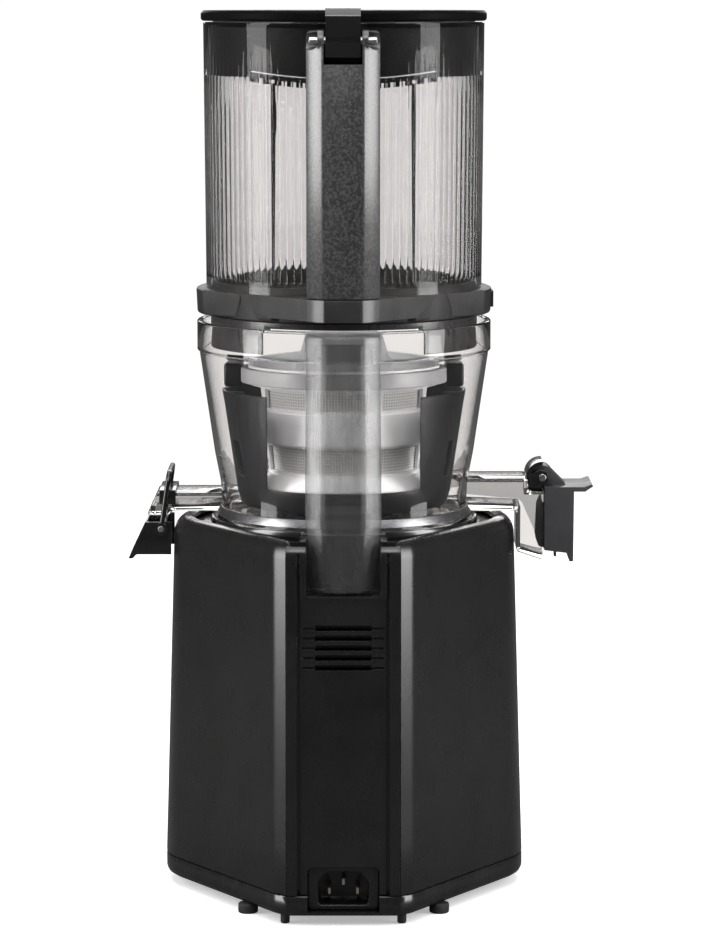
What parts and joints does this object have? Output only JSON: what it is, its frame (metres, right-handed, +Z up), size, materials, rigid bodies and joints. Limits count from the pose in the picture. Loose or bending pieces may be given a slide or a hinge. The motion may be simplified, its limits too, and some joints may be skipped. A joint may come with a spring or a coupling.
{
  "type": "vertical slow juicer",
  "caption": "Vertical slow juicer: faceted black drive unit, clear juicing bowl with strainer, scraper, auger and two spouts, and a ribbed smoky feed hopper with a hinged lid.",
  "frame": {"origin": "on the vertical drive axis, at the level of the undersides of the feet", "axes": "+Z up along the drive axis, -Y towards the user side, +Y towards the handle and mains inlet, +X towards the pulp spout"},
  "size_m": [0.2402, 0.2018, 0.4508],
  "materials": {
    "base_satin": "fine satin black",
    "black_gloss": "polished black",
    "rubber_black": "soft matte",
    "steel": "zinc plated",
    "shaft_steel": "ground",
    "brass_pin": "bare",
    "inlet_black": "moulded",
    "board_green": "solder mask",
    "can_grey": "drawn",
    "motor_steel": "rolled",
    "copper": "varnished winding",
    "nylon_white": "moulded",
    "cast_metal": "die cast",
    "clear_smoke": "clear smoke",
    "frost_smoke": "grained smoke",
    "hopper_smoke": "ribbed smoke",
    "guard_smoke": "dark smoke",
    "cage_grey": "satin dark grey",
    "strainer_grey": "satin light grey",
    "mesh_steel": "etched",
    "silicone_grey": "soft",
    "collar_grain": "fine grain",
    "cap_grey": "satin dark grey"
  },
  "bodies": {
    "base": {"base_shell": "base_satin", "base_tray": "inlet_black", "feet": "rubber_black", "tray_screws": "steel", "top_deck": "black_gloss", "rear_panel": "inlet_black", "inlet_housing": "inlet_black", "inlet_pins": "brass_pin", "knob_switch": "inlet_black", "control_board": "board_green", "capacitor": "can_grey", "motor_can": "motor_steel", "motor_stator": "copper", "motor_bearings": "steel", "motor_bracket": "cast_metal", "gear_housing": "cast_metal", "housing_screws": "steel", "counter_bearings": "steel", "shaft_bearings": "steel", "shaft_seal": "rubber_black"},
    "knob": {"control_knob": "black_gloss"},
    "rotor": {"motor_rotor": "shaft_steel", "motor_pinion": "shaft_steel", "cooling_fan": "nylon_white"},
    "countershaft": {"stage_gear": "nylon_white", "counter_shaft": "shaft_steel"},
    "output": {"output_gear": "nylon_white", "drive_shaft": "shaft_steel"},
    "bowl": {"bowl_shell": "clear_smoke", "bowl_handle": "frost_smoke", "bowl_seal": "silicone_grey", "idler_pin": "shaft_steel", "cap_bracket": "black_gloss", "cap_pin": "shaft_steel", "lever_pin": "shaft_steel", "bail_catch": "black_gloss", "strainer_frame": "strainer_grey", "strainer_mesh": "mesh_steel", "strainer_ring": "guard_smoke"},
    "idler": {"idler_gear": "nylon_white"},
    "cap": {"juice_cap": "cap_grey", "cap_gasket": "rubber_black"},
    "lever": {"pulp_lever": "black_gloss"},
    "bail": {"pulp_bail": "black_gloss"},
    "scraper": {"scraper_cage": "cage_grey", "scraper_gear": "strainer_grey", "scraper_wipers": "silicone_grey"},
    "screw": {"auger": "strainer_grey", "auger_socket": "steel"},
    "hopper": {"hopper_collar": "collar_grain", "hopper_shell": "hopper_smoke", "hopper_guard": "guard_smoke", "hopper_scoop": "guard_smoke", "hopper_handle": "frost_smoke", "hinge_pin": "shaft_steel"},
    "cover": {"lid": "black_gloss", "lid_seal": "silicone_grey"}
  },
  "joints": [
    {"name": "control_knob_turn", "type": "hinge", "parent": "base", "child": "knob", "pos_m": [0, -0.097, 0.092], "axis": [0, 1, 0], "range_deg": [-45, 45]},
    {"name": "drive_spin", "type": "hinge", "parent": "base", "child": "output", "pos_m": [0, 0, 0.155], "axis": [0, 0, 1], "continuous": true},
    {"name": "countershaft_spin", "type": "hinge", "parent": "base", "child": "countershaft", "pos_m": [0, -0.042, 0.15], "axis": [0, 0, 1], "continuous": true},
    {"name": "motor_spin", "type": "hinge", "parent": "base", "child": "rotor", "pos_m": [0, -0.006, 0.08], "axis": [0, 0, 1], "continuous": true},
    {"name": "bowl_lift", "type": "slide", "parent": "base", "child": "bowl", "axis": [0, 0, 1], "range_m": [0, 0.06]},
    {"name": "auger_spin", "type": "hinge", "parent": "bowl", "child": "screw", "pos_m": [0, 0, 0.24], "axis": [0, 0, 1], "continuous": true},
    {"name": "idler_spin", "type": "hinge", "parent": "bowl", "child": "idler", "pos_m": [0, -0.03, 0.203], "axis": [0, 0, 1], "continuous": true},
    {"name": "scraper_spin", "type": "hinge", "parent": "bowl", "child": "scraper", "pos_m": [0, 0, 0.203], "axis": [0, 0, 1], "continuous": true},
    {"name": "juice_cap_hinge", "type": "hinge", "parent": "bowl", "child": "cap", "pos_m": [-0.1026, -0.022, 0.2094], "axis": [0, 1, 0], "range_deg": [0, 65]},
    {"name": "pulp_lever_hinge", "type": "hinge", "parent": "bowl", "child": "lever", "pos_m": [0.0944, -0.022, 0.184], "axis": [0, -1, 0], "range_deg": [0, 14]},
    {"name": "pulp_bail_hinge", "type": "hinge", "parent": "bowl", "child": "bail", "pos_m": [0.0944, -0.022, 0.184], "axis": [0, 1, 0], "range_deg": [0, 100]},
    {"name": "hopper_lift", "type": "slide", "parent": "bowl", "child": "hopper", "axis": [0, 0, 1], "range_m": [0, 0.04]},
    {"name": "lid_hinge", "type": "hinge", "parent": "hopper", "child": "cover", "pos_m": [0, 0.0804, 0.435], "axis": [-1, 0, 0], "range_deg": [0, 105]}
  ],
  "couplings": [
    {"joint": "countershaft_spin", "follows": "drive_spin", "ratio": -3},
    {"joint": "motor_spin", "follows": "drive_spin", "ratio": 15},
    {"joint": "auger_spin", "follows": "drive_spin", "ratio": 1},
    {"joint": "idler_spin", "follows": "drive_spin", "ratio": -1},
    {"joint": "scraper_spin", "follows": "drive_spin", "ratio": -0.33333}
  ]
}
